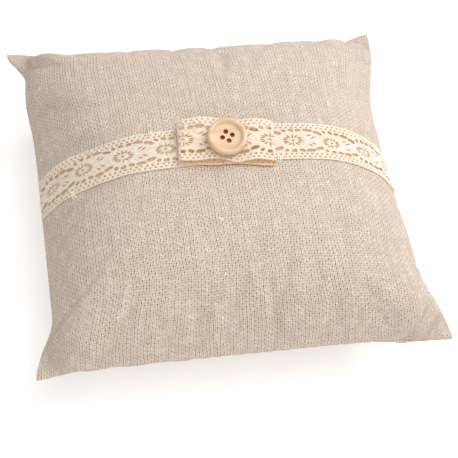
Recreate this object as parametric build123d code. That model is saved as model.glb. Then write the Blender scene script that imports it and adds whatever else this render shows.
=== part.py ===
"""Ring bearer pillow: a filled linen cushion with a lace band, a folded lace bow and a wooden button.

Millimetres. The pillow lies on its back panel: +X runs along the lace band, +Y points to the far edge
and +Z is up. The origin is the middle of the flat patch that the pillow rests on.
"""

from build123d import *
import os
from math import radians, sin, tan

# Linen cushion
CORNER_X = 97.0  # middle of the cushion to a corner tip
CORNER_Y = 93.0
PULL_X = 9.0  # how far filling draws the middle of the left and right edges in
PULL_Y = 5.0  # and of the front and back edges
TOP_RISE = 37.0  # crown of the front panel above the seam line
BELLY_DROP = 36.0  # crown of the back panel below the seam line, before it flattens
SEAM_HEIGHT = 33.0  # seam line above the table
FULLNESS = 2.5  # power of the filled section: 2 for an ellipse, more for squarer shoulders
SEAM_SHARE = 0.985  # how far out on that section the cloth meets the seam
CLOTH = 0.8  # linen thickness
SEAM_ALLOWANCE = 10.0  # cloth turned in along every edge
CAVITY_INSET = 2.5  # cushion edge to the filling, where the folded cloth takes the room
TOUCH_GAP = 0.05  # left between curved faces that lie on each other
GRID = 16  # spans of the surface grid across the cushion
GRID_TURN = radians(80)  # its lines stand as the sines of even steps up to this angle

# Sewing
THREAD_R = 0.25  # machine thread
SEAM_INSET = 1.2  # stitch line inside the cushion's edge
CORNER_FREE = 0.01  # share of an edge at each corner that the next edge's stitches cover
OPENING_HALF = 28.0  # half the length of the filling opening, in the front edge
OPENING_MIDDLE = -32.0  # where its middle is, along X
CLOSING_PITCH = 4.0  # between hand stitches
CLOSING_RISE = 1.2  # of one hand stitch, above and below the seam line
CLOSING_LEAN = radians(25)  # from upright

# Lace
LACE_WIDTH = 22.0
LACE_THICKNESS = 0.9
TACK_REACH = 2.2  # of a tack, each side of the band's edge
TACK_R = 0.4
TACKS = ((-74.0, -1), (-36.0, 1), (24.0, -1))  # place along X, and which edge of the band

# Bow: a loop of the same lace, pressed flat
BOW_LENGTH = 46.0
BOW_TURN = -5.0  # degrees about Z, against the band
BOW_FRONT_GAP = 1.2  # between the loop's two layers at its front edge
BOW_BACK_GAP = 3.8  # and at its back edge
LOOP_OVERCUT = 1.5  # how far the loop's inside is cut beyond its two edges
STITCH_SPAN = 3.0  # between the two legs of the thread that ties the bow down
STITCH_DEPTH = 4.0  # how far that thread reaches below the band

# Button
BUTTON_R = 9.3
BUTTON_THICK = 3.4
BUTTON_TILT = 16.0  # degrees, its face towards the front edge
RIM_WIDTH = 1.6  # button's edge to the crest of its rim
UNDER_ROUND = 1.4  # rounding of its lower edge
RECESS_R = 6.5
RECESS_FLOOR = 2.2
HOLE_R = 1.1
HOLE_CIRCLE_R = 2.4
HOLE_TURN = 10.0  # degrees
GLUE_R = 4.5
GLUE_MIDDLE = 1.6  # thickness of the glue under the button's middle

EDGE_HALF = 2 * CLOTH  # from the seam line to the fold: the panel and its own allowance
BAND_TOP = SEAM_HEIGHT + TOP_RISE + LACE_THICKNESS + TOUCH_GAP
BOW_BASE = BAND_TOP + TOUCH_GAP
BOW_FRONT_HEIGHT = BOW_FRONT_GAP + 2 * LACE_THICKNESS
BOW_BACK_HEIGHT = BOW_BACK_GAP + 2 * LACE_THICKNESS
BOW_TOP = BOW_BASE + (BOW_FRONT_HEIGHT + BOW_BACK_HEIGHT) / 2
BUTTON_BASE = BOW_TOP + GLUE_MIDDLE


def inset(amount):
    """Half sizes of the cushion's outline along X and Y, drawn in by an amount."""
    return CORNER_X - amount, CORNER_Y - amount


def edge_line(half, pull, across):
    """Distance from the middle to a cushion edge, at a share of the way along it from -1 to 1."""
    return half - pull * (1 - across * across)


def section(share):
    """Height of the full superellipse at a share of its half width."""
    return (1 - abs(share) ** FULLNESS) ** (1 / FULLNESS)


def crown(share):
    """Height of the cushion's section, from 1 at the middle to 0 at the seam."""
    seam = section(SEAM_SHARE)
    return (section(SEAM_SHARE * share) - seam) / (1 - seam)


def patch_point(half, rise, base, u, v):
    """Point of a cushion panel at the shares u, along X, and v, along Y, of the way to the seam."""
    x = u * edge_line(half[0], PULL_X, v)
    y = v * edge_line(half[1], PULL_Y, u)
    return x, y, base + (rise - base) * crown(u) * crown(v)


def space_above(height):
    """Block that covers everything above a height."""
    side = 4 * CORNER_X
    return Pos(0, 0, height) * Box(side, side, side, align=(Align.CENTER, Align.CENTER, Align.MIN))


def half_cushion(half, rise, base):
    """Solid between the seam plane z = 0 and a crowned panel above it, with upright sides up to base."""
    shares = [sin(GRID_TURN * (2 * i / GRID - 1)) / sin(GRID_TURN) for i in range(GRID + 1)]
    panel = Face.make_surface_from_array_of_points(
        [[patch_point(half, rise, base, u, v) for u in shares] for v in shares]
    )
    return extrude(panel, amount=2 * rise, dir=(0, 0, -1)) & space_above(0)


def edge_arc(half, side):
    """One of the four edges in the seam plane, drawn in at its middle: front, right, back, left."""
    x, y = half
    corners = ((-x, -y), (x, -y), (x, y), (-x, y))
    middles = ((0, PULL_Y - y), (x - PULL_X, 0), (0, y - PULL_Y), (PULL_X - x, 0))
    return ThreePointArc(corners[side], middles[side], corners[(side + 1) % 4])


def edge_plate(half, thickness):
    """Flat plate of the cushion's outline, centred on the seam plane."""
    outline = make_face([edge_arc(half, side) for side in range(4)])
    return extrude(outline, amount=thickness / 2, both=True)


def on_seam(shape, upside_down=False):
    """Lifts a half cushion to the seam line, turned over for the back."""
    turned = mirror(shape, Plane.XY) if upside_down else shape
    return Pos(0, 0, SEAM_HEIGHT) * turned


def cavity(rise, gap=0.0):
    """What a panel and its turned-in allowance leave for the filling, above the seam plane."""
    room = half_cushion(inset(CAVITY_INSET + gap), rise - CLOTH - gap, 2 * CLOTH)
    window = edge_plate(inset(SEAM_ALLOWANCE + gap), 4 * CLOTH)
    return (room & space_above(CLOTH + gap)) + (window & space_above(0))


def front_cavity(gap=0.0):
    """The filling's room behind the front panel."""
    return on_seam(cavity(TOP_RISE, gap))


def back_cavity(gap=0.0):
    """The filling's room behind the back panel, flattened where the pillow rests."""
    return on_seam(cavity(BELLY_DROP, gap), upside_down=True) & space_above(CLOTH + gap)


def thread(points, radius):
    """Thread pulled straight from point to point."""
    path = Polyline(*points)
    start = Plane(origin=path @ 0, z_dir=path % 0)
    return sweep(start * Circle(radius), path=path, transition=Transition.RIGHT)


def stitch_channel(radius):
    """Thread that the machine seam lays round the edges, apart from the filling opening."""
    half = inset(SEAM_INSET)
    runs = []
    for side in range(4):
        arc = edge_arc(half, side).edge()
        spans = [(CORNER_FREE, 1 - CORNER_FREE)]
        if side == 0:
            start = 0.5 + (OPENING_MIDDLE - OPENING_HALF) / (2 * half[0])
            end = 0.5 + (OPENING_MIDDLE + OPENING_HALF) / (2 * half[0])
            spans = [(CORNER_FREE, start), (end, 1 - CORNER_FREE)]
        for first, last in spans:
            line = arc.trim(first, last)
            runs.append(sweep(Plane(origin=line @ 0, z_dir=line % 0) * Circle(radius), path=line))
    return on_seam(Compound(runs))


def closing_stitches():
    """Hand stitches that close the opening: short threads that lean across the front edge."""
    count = int(2 * OPENING_HALF / CLOSING_PITCH)
    lean = CLOSING_RISE * tan(CLOSING_LEAN)
    stitches = []
    for i in range(count + 1):
        x = OPENING_MIDDLE + CLOSING_PITCH * (i - count / 2)
        y = -edge_line(CORNER_Y, PULL_Y, x / CORNER_X) - THREAD_R - 2 * TOUCH_GAP
        low = (x - lean, y, SEAM_HEIGHT - CLOSING_RISE)
        high = (x + lean, y, SEAM_HEIGHT + CLOSING_RISE)
        stitches.append(thread((low, high), THREAD_R))
    return Compound(stitches)


def lace_strip_on_cushion():
    """The lace band: a strip over the front panel, from one side seam to the other."""
    under = TOUCH_GAP
    over = TOUCH_GAP + LACE_THICKNESS
    outside = half_cushion(inset(-over), TOP_RISE + over, EDGE_HALF + over)
    shell = outside - half_cushion(inset(-under), TOP_RISE + under, EDGE_HALF + under)
    slab = Box(4 * CORNER_X, LACE_WIDTH, 4 * TOP_RISE)
    return on_seam(shell & slab)


def height_over_panel(x, y, over):
    """Height above the table of a face that lies a distance over the front panel."""
    v = y / (CORNER_Y + over - PULL_Y)
    u = x / edge_line(CORNER_X + over, PULL_X, v)
    base = EDGE_HALF + over
    return SEAM_HEIGHT + base + (TOP_RISE + over - base) * crown(u) * crown(v)


def band_tacks():
    """White hand tacks: each lies on the band, leans over its edge and ends on the linen."""
    on_linen = TACK_R + 3 * TOUCH_GAP
    on_lace = on_linen + LACE_THICKNESS
    edge = LACE_WIDTH / 2
    path = (
        (edge - TACK_REACH, on_lace),
        (edge + TACK_R + 6 * TOUCH_GAP, on_lace),
        (edge + TACK_REACH, on_linen),
    )
    tacks = []
    for x, side in TACKS:
        points = [(x, side * y, height_over_panel(x, y, over)) for y, over in path]
        tacks.append(thread(points, TACK_R))
    return Compound(tacks)


def loop_section(y, length, height):
    """Flat loop seen from the front, standing on z = 0, as a face in the plane at y."""
    plane = Plane(origin=(0, y, height / 2), x_dir=(1, 0, 0), z_dir=(0, -1, 0))
    return plane * SlotOverall(length, height)


def bow_loop():
    """Lace strip folded into a flat loop that opens a little towards its back edge."""
    ends = ((-LACE_WIDTH / 2, BOW_FRONT_HEIGHT), (LACE_WIDTH / 2, BOW_BACK_HEIGHT))
    outside = loft([loop_section(y, BOW_LENGTH, height) for y, height in ends], ruled=True)
    thin = 2 * LACE_THICKNESS
    more = (BOW_BACK_HEIGHT - BOW_FRONT_HEIGHT) * LOOP_OVERCUT / LACE_WIDTH
    inside = loft(
        [
            Pos(0, 0, LACE_THICKNESS)
            * loop_section(y + step * LOOP_OVERCUT, BOW_LENGTH - thin, height - thin + step * more)
            for (y, height), step in zip(ends, (-1, 1))
        ],
        ruled=True,
    )
    return Pos(0, 0, BOW_BASE) * Rot(0, 0, BOW_TURN) * (outside - inside)


def tie_thread(radius):
    """Thread that ties the bow down, through its layers, the band and the front panel."""
    top = BOW_TOP + THREAD_R
    bottom = BAND_TOP - STITCH_DEPTH - radius
    reach = STITCH_SPAN / 2
    return thread(((-reach, 0, bottom), (-reach, 0, top), (reach, 0, top), (reach, 0, bottom)), radius)


def button_body():
    """Turned wooden button with a round rim, a shallow recess and four holes, face up on z = 0."""
    crest = BUTTON_R - RIM_WIDTH
    foot = BUTTON_R - UNDER_ROUND
    widest = BUTTON_THICK / 2
    with BuildSketch(Plane.XZ) as profile:
        with BuildLine():
            Polyline((0, RECESS_FLOOR), (0, 0), (foot, 0))
            ThreePointArc((foot, 0), (BUTTON_R - UNDER_ROUND / 4, UNDER_ROUND / 3), (BUTTON_R, widest))
            shoulder = (BUTTON_R - RIM_WIDTH / 4, BUTTON_THICK - RIM_WIDTH / 3)
            ThreePointArc((BUTTON_R, widest), shoulder, (crest, BUTTON_THICK))
            Line((crest, BUTTON_THICK), (RECESS_R, RECESS_FLOOR))
            Line((RECESS_R, RECESS_FLOOR), (0, RECESS_FLOOR))
        make_face()
    blank = revolve(profile.sketch, Axis.Z)
    for hole in range(4):
        place = Rot(0, 0, HOLE_TURN + 90 * hole) * Pos(HOLE_CIRCLE_R, 0, 0)
        blank = blank - place * Cylinder(HOLE_R, 4 * BUTTON_THICK)
    return blank


BUTTON_SEAT = Pos(0, 0, BUTTON_BASE) * Rot(BUTTON_TILT, 0, 0)


def glue_dab():
    """Wedge of set glue between the bow's upper layer and the button."""
    size = 4 * GLUE_R
    column = Pos(0, 0, BUTTON_BASE) * Cylinder(GLUE_R, size)
    over_button = BUTTON_SEAT * Box(size, size, size, align=(Align.CENTER, Align.CENTER, Align.MIN))
    bow_slope = (BOW_BACK_HEIGHT - BOW_FRONT_HEIGHT) / LACE_WIDTH
    lean = Plane(origin=(0, 0, 0), x_dir=(1, 0, 0), z_dir=(0, -bow_slope, 1)).location
    under_bow = Pos(0, 0, BOW_TOP + TOUCH_GAP) * Rot(0, 0, BOW_TURN) * lean * Box(
        size, size, size, align=(Align.CENTER, Align.CENTER, Align.MAX)
    )
    return column - over_button - under_bow


def build():
    """Every piece of the pillow, by node name."""
    seam_cut = stitch_channel(THREAD_R + TOUCH_GAP)
    tie_cut = tie_thread(THREAD_R + TOUCH_GAP)
    front = on_seam(half_cushion(inset(0), TOP_RISE, EDGE_HALF)) - front_cavity()
    back = on_seam(half_cushion(inset(0), BELLY_DROP, EDGE_HALF), upside_down=True) & space_above(0)
    filling = front_cavity(TOUCH_GAP) + back_cavity(TOUCH_GAP)
    return {
        "cover_front": front - seam_cut - tie_cut,
        "cover_back": back - back_cavity() - seam_cut,
        "filling": filling - tie_cut,
        "seam_thread": stitch_channel(THREAD_R),
        "closing_stitches": closing_stitches(),
        "lace_band": lace_strip_on_cushion() - tie_cut,
        "band_tacks": band_tacks(),
        "bow_loop": bow_loop() - tie_cut,
        "bow_tie_thread": tie_thread(THREAD_R),
        "button_glue": glue_dab() - tie_cut,
        "button": BUTTON_SEAT * button_body(),
    }


os.makedirs("parts", exist_ok=True)
for node, shape in build().items():
    export_step(shape, f"parts/{node}.step")
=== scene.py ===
"""Looks of a ring bearer pillow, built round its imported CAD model.

The linen cover is cut flat, sewn along its seam line and filled by cloth simulation. The lace band and
the bow are one openwork pattern, laid on the filled cover. The button, the glue and the sewing threads
are modelled on top. Lengths are metres unless a name says otherwise.
"""

import logging
import math
from dataclasses import dataclass, field
from enum import Enum
from typing import Any, Callable, Sequence, Union

import bmesh
import bpy
import numpy as np
from mathutils import Matrix, Vector


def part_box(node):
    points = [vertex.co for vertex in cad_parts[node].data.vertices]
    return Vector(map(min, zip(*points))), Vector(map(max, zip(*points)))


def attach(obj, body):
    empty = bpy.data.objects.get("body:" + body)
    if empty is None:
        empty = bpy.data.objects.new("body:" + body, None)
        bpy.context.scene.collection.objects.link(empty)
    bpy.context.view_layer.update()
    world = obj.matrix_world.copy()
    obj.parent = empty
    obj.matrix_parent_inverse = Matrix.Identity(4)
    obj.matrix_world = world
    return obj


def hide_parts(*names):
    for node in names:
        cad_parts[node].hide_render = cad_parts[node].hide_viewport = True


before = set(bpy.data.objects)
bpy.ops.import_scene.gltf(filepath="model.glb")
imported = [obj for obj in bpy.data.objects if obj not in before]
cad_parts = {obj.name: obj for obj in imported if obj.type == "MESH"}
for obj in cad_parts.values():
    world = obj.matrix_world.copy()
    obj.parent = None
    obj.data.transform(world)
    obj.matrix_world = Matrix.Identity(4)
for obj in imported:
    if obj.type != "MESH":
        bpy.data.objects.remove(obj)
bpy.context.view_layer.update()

LOG = logging.getLogger("ring_pillow")
MM = 0.001
BODY = "root"
LEVEL = (1, 1, 0)  # keeps a vector's part in the table's plane
Colour = tuple[float, float, float, float]
Scalar = Union["Signal", bpy.types.NodeSocket, float]
Placement = Callable[[np.ndarray, np.ndarray, np.ndarray], np.ndarray]
MeshData = tuple[np.ndarray, list[tuple[int, ...]]]


def smooth_step(share: np.ndarray) -> np.ndarray:
    """Eased ramp from 0 to 1 as share goes from 0 to 1."""
    share = np.clip(share, 0, 1)
    return share * share * (3 - 2 * share)


def unit(vectors: np.ndarray) -> np.ndarray:
    """Vectors at length 1, along the last axis."""
    return vectors / np.maximum(np.linalg.norm(vectors, axis=-1, keepdims=True), 1e-12)


# --- Shaders ------------------------------------------------------------------------------------------


class Signal:
    """A number on its way through a material, with Python's arithmetic."""

    def __init__(self, shader: "Shader", socket: bpy.types.NodeSocket) -> None:
        """Keeps the shader that the number belongs to and the socket that gives it."""
        self.shader = shader
        self.socket = socket

    def maths(self, operation: str, *others: Scalar, first: bool = True) -> "Signal":
        """Adds a Math node.

        Args:
            operation: the Math node's operation.
            others: its other operands.
            first: whether this number is the first operand.

        Returns:
            The node's result.
        """
        operands = (self, *others) if first else (*others, self)
        return self.shader.signal("Math", {"operation": operation}, dict(enumerate(operands)))

    def __add__(self, other: Scalar) -> "Signal":
        """self + other"""
        return self.maths("ADD", other)

    def __sub__(self, other: Scalar) -> "Signal":
        """self - other"""
        return self.maths("SUBTRACT", other)

    def __rsub__(self, other: Scalar) -> "Signal":
        """other - self"""
        return self.maths("SUBTRACT", other, first=False)

    def __mul__(self, other: Scalar) -> "Signal":
        """self * other"""
        return self.maths("MULTIPLY", other)

    def __truediv__(self, other: Scalar) -> "Signal":
        """self / other"""
        return self.maths("DIVIDE", other)

    def __pow__(self, other: Scalar) -> "Signal":
        """self to a power"""
        return self.maths("POWER", other)

    __radd__ = __add__
    __rmul__ = __mul__

    def floor(self) -> "Signal":
        """Whole part."""
        return self.maths("FLOOR")

    def fraction(self) -> "Signal":
        """Part after the point."""
        return self.maths("FRACT")

    def sine(self) -> "Signal":
        """Sine, of radians."""
        return self.maths("SINE")

    def highest(self, other: Scalar) -> "Signal":
        """The larger of two."""
        return self.maths("MAXIMUM", other)

    def ramp(self, start: float, end: float) -> "Signal":
        """Smooth step from 0 at start to 1 at end."""
        inputs = {"Value": self, "From Min": start, "From Max": end}
        return self.shader.signal("MapRange", {"interpolation_type": "SMOOTHSTEP"}, inputs)


class Shader:
    """One material and its node tree."""

    def __init__(self, name: str) -> None:
        """Makes an empty material.

        Args:
            name: the material's name.
        """
        self.material = bpy.data.materials.new(name)
        self.material.use_nodes = True
        self.tree = self.material.node_tree
        self.tree.nodes.clear()

    def node(self, kind: str, settings: dict[str, Any], inputs: dict[Any, Any]) -> bpy.types.Node:
        """Adds a node.

        Args:
            kind: the node's type, without its ShaderNode prefix.
            settings: its properties, which are set first.
            inputs: values or links of its sockets, by name or index.

        Returns:
            The node.
        """
        made = self.tree.nodes.new(f"ShaderNode{kind}")
        for key, value in settings.items():
            setattr(made, key, value)
        for key, value in inputs.items():
            source = value.socket if isinstance(value, Signal) else value
            if isinstance(source, bpy.types.NodeSocket):
                self.tree.links.new(source, made.inputs[key])
            else:
                made.inputs[key].default_value = source
        return made

    def signal(self, kind: str, settings: dict[str, Any], inputs: dict[Any, Any], output: Any = 0) -> Signal:
        """Adds a node and takes one of its outputs as a number.

        Args:
            kind: the node's type, without its ShaderNode prefix.
            settings: its properties.
            inputs: values or links of its sockets.
            output: the output's name or index.

        Returns:
            The output.
        """
        return Signal(self, self.node(kind, settings, inputs).outputs[output])

    def position(self) -> bpy.types.NodeSocket:
        """The surface point in the piece's own space."""
        return self.node("TexCoord", {}, {}).outputs["Object"]

    def attribute(self, name: str) -> bpy.types.Node:
        """The node that reads one of the mesh's own attributes."""
        return self.node("Attribute", {"attribute_name": name}, {})

    def split(self, vector: bpy.types.NodeSocket) -> list[Signal]:
        """X, Y and Z of a vector."""
        return [Signal(self, output) for output in self.node("SeparateXYZ", {}, {0: vector}).outputs]

    def join(self, x: Scalar, y: Scalar, z: Scalar = 0.0) -> bpy.types.NodeSocket:
        """A vector from three numbers."""
        return self.node("CombineXYZ", {}, {0: x, 1: y, 2: z}).outputs[0]

    def noise(self, vector: bpy.types.NodeSocket, scale: float, detail: float = 2.0) -> Signal:
        """Smooth noise about 0.5.

        Args:
            vector: where it is read.
            scale: waves to a unit of vector.
            detail: octaves.

        Returns:
            The noise.
        """
        inputs = {"Vector": vector, "Scale": scale, "Detail": detail}
        return self.signal("TexNoise", {}, inputs)

    def mix(self, factor: Scalar, low: Any, high: Any) -> bpy.types.NodeSocket:
        """Mixes two colours.

        Args:
            factor: 0 for low, 1 for high.
            low: the first colour, a value or a link.
            high: the second colour.

        Returns:
            The mixed colour.
        """
        settings = {"data_type": "RGBA", "blend_type": "MIX", "clamp_factor": True}
        return self.node("Mix", settings, {0: factor, 6: low, 7: high}).outputs[2]

    def bump(self, height: Scalar, depth: float) -> bpy.types.NodeSocket:
        """A normal from a height.

        Args:
            height: 0 to 1.
            depth: what a height of 1 stands for.

        Returns:
            The normal.
        """
        return self.node("Bump", {}, {"Height": height, "Distance": depth, "Strength": 1.0}).outputs[0]

    def surface(self, **inputs: Any) -> bpy.types.Material:
        """Ends the tree with a Principled shader.

        Args:
            inputs: its sockets, with an underscore for each space.

        Returns:
            The finished material.
        """
        named = {key.replace("_", " "): value for key, value in inputs.items()}
        shader = self.node("BsdfPrincipled", {}, named)
        self.node("OutputMaterial", {}, {0: shader.outputs[0]})
        return self.material


def rgb(red: float, green: float, blue: float) -> Colour:
    """Scene colour from the 0 to 255 values that a screen shows."""
    linear = [((c / 255 + 0.055) / 1.055) ** 2.4 for c in (red, green, blue)]
    return (linear[0], linear[1], linear[2], 1.0)


BLACK = rgb(0, 0, 0)


@dataclass(frozen=True)
class Linen:
    """Undyed linen in plain weave, its warp ends paired, with pin holes, slubs and flecks of straw."""

    warp_pitch: float = 0.75 * MM
    weft_pitch: float = 1.2 * MM
    light: Colour = rgb(232, 218, 204)
    base: Colour = rgb(214, 197, 181)
    # painted shade: the darker colour laid between the yarns and along the gaps between paired warp ends
    deep: Colour = rgb(168, 145, 125)
    # painted shade: the dark brown seen in the pin holes, where the inside of the cover is in shade
    hole: Colour = rgb(82, 58, 41)
    straw: Colour = rgb(190, 148, 92)
    bleached: Colour = rgb(252, 247, 238)
    # painted light: warm tan standing in for light that filters through the lace onto the linen under it
    filtered_light_tan: Colour = rgb(214, 172, 128)
    band_half: float = 10.5 * MM

    def material(self) -> bpy.types.Material:
        """Builds the weave from warp and weft yarns that pass over each other.

        Returns:
            The material. It reads the cut position from the attribute "cloth".
        """
        s = Shader("linen")
        cloth = s.attribute("cloth").outputs["Vector"]
        drift = s.node("TexNoise", {}, {"Vector": cloth, "Scale": 70.0, "Detail": 2.0}).outputs["Color"]
        drift_x, drift_y, _ = s.split(drift)
        across, along, side = s.split(cloth)
        x = across * (1 / self.warp_pitch) + drift_x * 2.6 + 200.0
        y = along * (1 / self.weft_pitch) + drift_y * 1.8 + 200.0
        warp_number, weft_number = x.floor(), y.floor()
        warp_body = s.noise(s.join(warp_number * 7.31, y * 0.16, side * 900.0), 1.0)
        weft_body = s.noise(s.join(x * 0.16, weft_number * 5.17, side * 700.0), 1.0)
        warp, weft = self.yarn(x, warp_body), self.yarn(y, weft_body)
        over = ((y + warp_number) * math.pi).sine()
        height = (warp * (over * 0.25 + 0.75)).highest(weft * (over * -0.3 + 0.5))
        gap_x, gap_y = (x + 0.5).floor(), (y + 0.5).floor()
        chance = s.noise(s.join(gap_x * 3.7, gap_y * 5.3, side * 500.0), 1.0, 1.0)
        near_x = (x - gap_x).maths("ABSOLUTE")
        near_y = (y - gap_y + (chance - 0.5) * 0.9).maths("ABSOLUTE")
        reach = (near_x * near_x * 10.0 + near_y * near_y * 5.5).ramp(1.0, 0.15)
        crossed = (((gap_x * 0.5).floor() + gap_y) * 0.5).fraction().ramp(0.3, 0.2)
        paired = (gap_x * 0.5).fraction().ramp(0.3, 0.2)
        region = s.noise(cloth, 55.0, 2.0)
        pin = reach * crossed * (paired * 0.75 + 0.25) * (chance * 1.5 + region * 0.7).ramp(0.68, 1.28)
        streak = s.noise(s.join(gap_x * 2.9, y * 0.05, side * 300.0), 1.0, 1.0)
        column = near_x.ramp(0.5, 0.1) * paired * streak.ramp(0.25, 0.65)
        body = over.ramp(-0.4, 0.4)
        tone = warp_body * body + weft_body * (1 - body)
        # Painted shade: the deep colour fills the low places between the yarns.
        colour = s.mix(height.ramp(0.1, 0.8), self.deep, self.base)
        colour = s.mix(tone.ramp(0.4, 0.7) * 0.5, colour, self.light)
        # Painted shade along the gaps between paired warp ends.
        colour = s.mix(column * 0.6, colour, self.deep)
        fleck = s.noise(s.join(across, along * 2.4, side), 480.0, 1.0)
        colour = s.mix(fleck.ramp(0.74, 0.78) * 0.6, colour, self.straw)
        pale = s.noise(s.join(across * 2.2, along, side * 4.0 + 4.0), 420.0, 1.0)
        colour = s.mix(pale.ramp(0.72, 0.78) * 0.6, colour, self.bleached)
        # Painted shade in the pin holes.
        colour = s.mix(pin, colour, self.hole)
        # Painted light: the front panel under the band is tinted tan, standing in for light that filters
        # through the lace.
        under_lace_light_mask = along.maths("ABSOLUTE").ramp(self.band_half, self.band_half - 1.0 * MM)
        colour = s.mix(under_lace_light_mask * side.ramp(0.0, 0.01) * 0.85, colour, self.filtered_light_tan)
        fuzz = s.noise(cloth, 5200.0, 2.0)
        normal = s.bump(height * 0.85 + fuzz * 0.15 - pin * 0.5, 0.3 * MM)
        return s.surface(Base_Color=colour, Roughness=0.92, Normal=normal, Sheen_Weight=0.1,
                         Sheen_Roughness=0.6, Specular_IOR_Level=0.12)

    @staticmethod
    def yarn(place: Signal, body: Signal) -> Signal:
        """Section of a yarn across its own row.

        Args:
            place: position across the rows, one row to a unit.
            body: the yarn's thickness here, about 0.5.

        Returns:
            1 along the yarn's middle, 0 beside it.
        """
        off_centre = place.fraction() * 2 - 1
        width = body * 0.8 + 0.62
        return (1 - (off_centre / width) ** 2.0).highest(0.0)


@dataclass(frozen=True)
class CottonLace:
    """Cream cotton of the lace, with its twisted threads."""

    cream: Colour = rgb(243, 227, 212)
    # painted shade colour for the holes' edges, the lower faces and the ply grooves; also the darker colour
    # of random patches
    shade: Colour = rgb(216, 184, 148)
    # painted light: warm glow of the lace's lower faces, standing in for light that passes through the
    # cotton
    painted_glow: Colour = rgb(236, 196, 146)

    def material(self) -> bpy.types.Material:
        """Fine thread pattern over the modelled openwork.

        Returns:
            The material. It reads the lace's flat position and relief from the attribute "lace".
        """
        s = Shader("cotton_lace")
        flat = s.attribute("lace").outputs["Vector"]
        along, across, relief = s.split(flat)
        slant = ((along + across) * (2 * math.pi / (0.55 * MM))).sine()
        counter = ((along - across) * (2 * math.pi / (0.62 * MM))).sine()
        ply = slant.highest(counter) * 0.5 + 0.5
        speck = s.noise(s.join(along, across), 1500.0, 2.0)
        worn = s.noise(s.join(along, across, 3.0), 90.0, 2.0)
        # Painted shade near the holes' edges and on the lower faces, where the relief value is low.
        colour = s.mix(relief.ramp(0.05, 0.75), self.shade, self.cream)
        knot = s.noise(s.join(along, across * 1.3, 5.0), 850.0, 1.0)
        # Painted shade in the grooves between the plies; the worn and knot patches below are darker tone at
        # random.
        colour = s.mix((1 - ply) * 0.3 + worn.ramp(0.4, 0.8) * 0.1, colour, self.shade)
        colour = s.mix(knot.ramp(0.5, 0.36) * 0.45, colour, self.shade)
        normal = s.bump(ply * 0.6 + speck * 0.4 + knot * 0.9, 0.22 * MM)
        # Painted light: the lower faces (relief below 0) glow warm, standing in for light that passes
        # through the cotton.
        through = s.mix(relief.ramp(-0.1, -0.8), BLACK, self.painted_glow)
        return s.surface(Base_Color=colour, Roughness=0.88, Normal=normal, Sheen_Weight=0.1,
                         Emission_Color=through, Emission_Strength=0.2,
                         Specular_IOR_Level=0.2, Subsurface_Weight=0.6, Subsurface_Scale=1.2 * MM,
                         Subsurface_Radius=(1.0, 0.85, 0.7))


@dataclass(frozen=True)
class Thread:
    """Sewing thread, in its own colour."""

    name: str
    colour: Colour

    def material(self) -> bpy.types.Material:
        """Fine fibres over the modelled ply."""
        s = Shader(self.name)
        fibre = s.noise(s.position(), 6000.0, 2.0)
        tone = s.noise(s.position(), 700.0, 2.0)
        dark = tuple(0.72 * c for c in self.colour[:3]) + (1.0,)
        colour = s.mix(tone.ramp(0.35, 0.75) * 0.6, self.colour, dark)
        return s.surface(Base_Color=colour, Roughness=0.7, Normal=s.bump(fibre, 0.05 * MM),
                         Sheen_Weight=0.15)


@dataclass(frozen=True)
class TurnedWood:
    """Pale turned wood with faint grain, reddish where the holes cut it."""

    pale: Colour = rgb(216, 188, 155)
    grain: Colour = rgb(200, 160, 118)
    hole_wall_red: Colour = rgb(186, 84, 34)

    def material(self) -> bpy.types.Material:
        """Growth rings and pores along the button's own X axis.

        Returns:
            The material. It reads the position on the blank from "blank", and from "bore" how deep
            in a hole a point is.
        """
        s = Shader("turned_wood")
        blank = s.attribute("blank").outputs["Vector"]
        along, across, up = s.split(blank)
        bend = s.noise(blank, 90.0, 2.0)
        rings = ((across * 900.0 + bend * 9.0 + up * 500.0).sine() * 0.5 + 0.5) ** 2.0
        pores = s.noise(s.join(along * 0.12, across, up), 4200.0, 2.0)
        colour = s.mix(rings * 0.45, self.pale, self.grain)
        colour = s.mix(pores.ramp(0.55, 0.75) * 0.35, colour, self.grain)
        bore = Signal(s, s.attribute("bore").outputs["Fac"])
        # The hole walls and mouths are coloured a deep reddish brown.
        colour = s.mix(bore, colour, self.hole_wall_red)
        rough = rings * 0.12 + 0.42
        normal = s.bump(pores * 0.6 + rings * 0.3, 0.03 * MM)
        return s.surface(Base_Color=colour, Roughness=rough, Normal=normal, Specular_IOR_Level=0.4)


@dataclass(frozen=True)
class SetGlue:
    """Set hot glue, milky and a little uneven."""

    milky: Colour = rgb(206, 158, 108)
    amber: Colour = rgb(160, 100, 58)

    def material(self) -> bpy.types.Material:
        """Cloudy colour with a soft gloss."""
        s = Shader("set_glue")
        cloud = s.noise(s.position(), 500.0, 3.0)
        colour = s.mix(cloud.ramp(0.35, 0.7), self.milky, self.amber)
        return s.surface(Base_Color=colour, Roughness=cloud * 0.3 + 0.25, Normal=s.bump(cloud, 0.1 * MM))


@dataclass(frozen=True)
class Batting:
    """Polyester fibre filling."""

    white: Colour = rgb(244, 244, 241)
    grey: Colour = rgb(205, 206, 204)

    def material(self) -> bpy.types.Material:
        """Matted fibres."""
        s = Shader("batting")
        clump = s.noise(s.position(), 160.0, 4.0)
        fibre = s.noise(s.position(), 2400.0, 3.0)
        colour = s.mix(clump.ramp(0.35, 0.7), self.white, self.grey)
        return s.surface(Base_Color=colour, Roughness=0.95, Normal=s.bump(clump + fibre, 1.0 * MM))


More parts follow.
